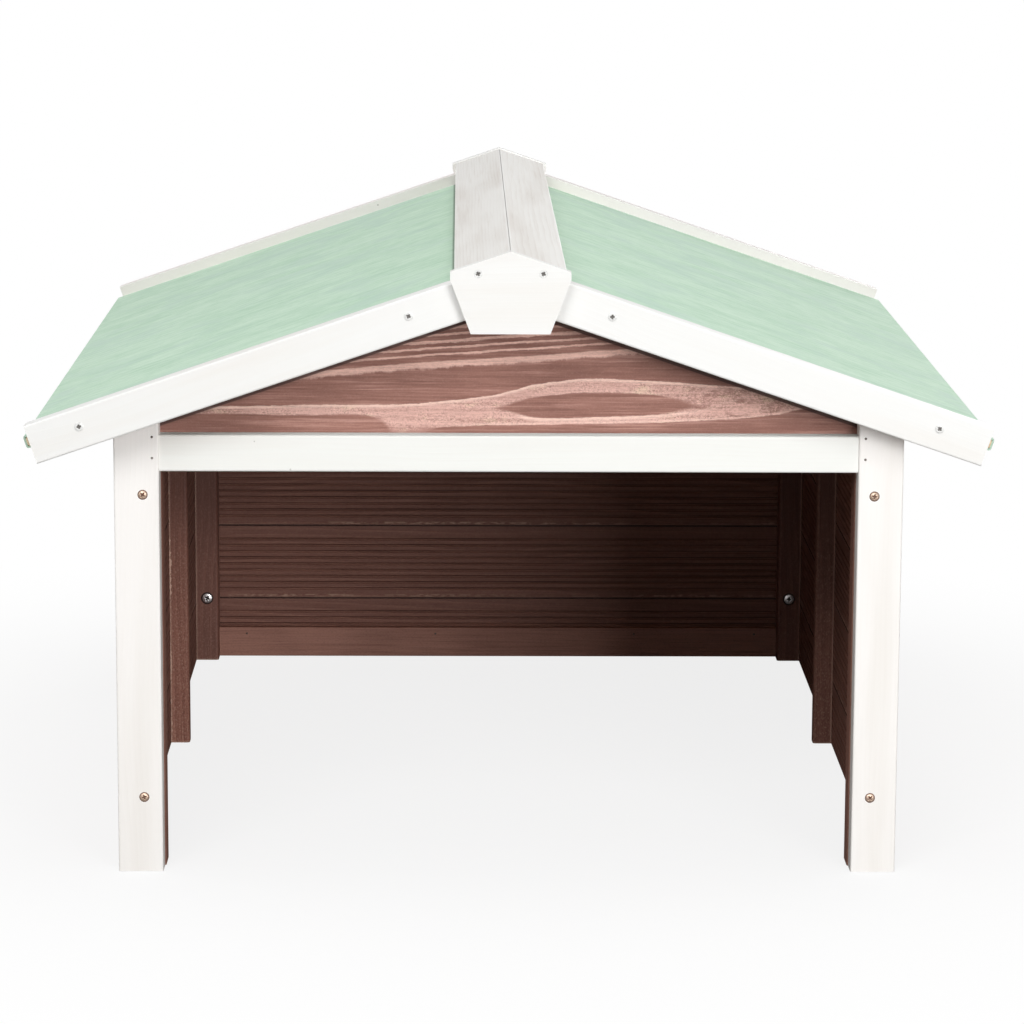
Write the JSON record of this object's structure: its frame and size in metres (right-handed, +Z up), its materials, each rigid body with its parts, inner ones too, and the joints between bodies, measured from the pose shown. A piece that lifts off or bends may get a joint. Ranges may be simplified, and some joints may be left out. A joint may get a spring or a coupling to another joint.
{
  "type": "robot mower garage",
  "caption": "Low gabled timber shelter, open at the front and below, with boarded walls, white posts and a felted roof with barge boards and a ridge cap.",
  "frame": {"origin": "on the ground, at the centre of the plan", "axes": "+X to the right as seen from the doorway, +Y from the doorway to the back wall along the ridge, +Z up"},
  "size_m": [0.7244, 0.87, 0.482],
  "materials": {
    "white_paint": "opaque white paint on planed softwood",
    "brown_stain": "red-brown translucent stain on sawn softwood",
    "raw_wood": "bare softwood",
    "roofing_felt": "pale green mineral-surfaced felt"
  },
  "bodies": {
    "root": {"front_header": "white_paint", "front_gable_board": "brown_stain", "back_wall_boards": "brown_stain", "back_gable_board": "brown_stain", "back_bottom_rail": "brown_stain", "back_top_rail": "brown_stain", "front_ridge_plate": "white_paint", "back_ridge_plate": "white_paint", "right_front_post": "white_paint", "left_front_post": "white_paint", "right_wall_boards": "brown_stain", "left_wall_boards": "brown_stain", "right_front_batten": "brown_stain", "left_front_batten": "brown_stain", "right_middle_batten": "brown_stain", "left_middle_batten": "brown_stain", "right_rear_batten": "brown_stain", "left_rear_batten": "brown_stain", "right_roof_board": "raw_wood", "left_roof_board": "raw_wood", "right_roof_felt": "roofing_felt", "left_roof_felt": "roofing_felt", "right_front_barge_board": "white_paint", "left_front_barge_board": "white_paint", "right_back_barge_board": "white_paint", "left_back_barge_board": "white_paint", "right_front_roof_batten": "brown_stain", "left_front_roof_batten": "brown_stain", "right_back_roof_batten": "brown_stain", "left_back_roof_batten": "brown_stain", "right_ridge_cap_board": "white_paint", "left_ridge_cap_board": "white_paint"}
  },
  "joints": []
}
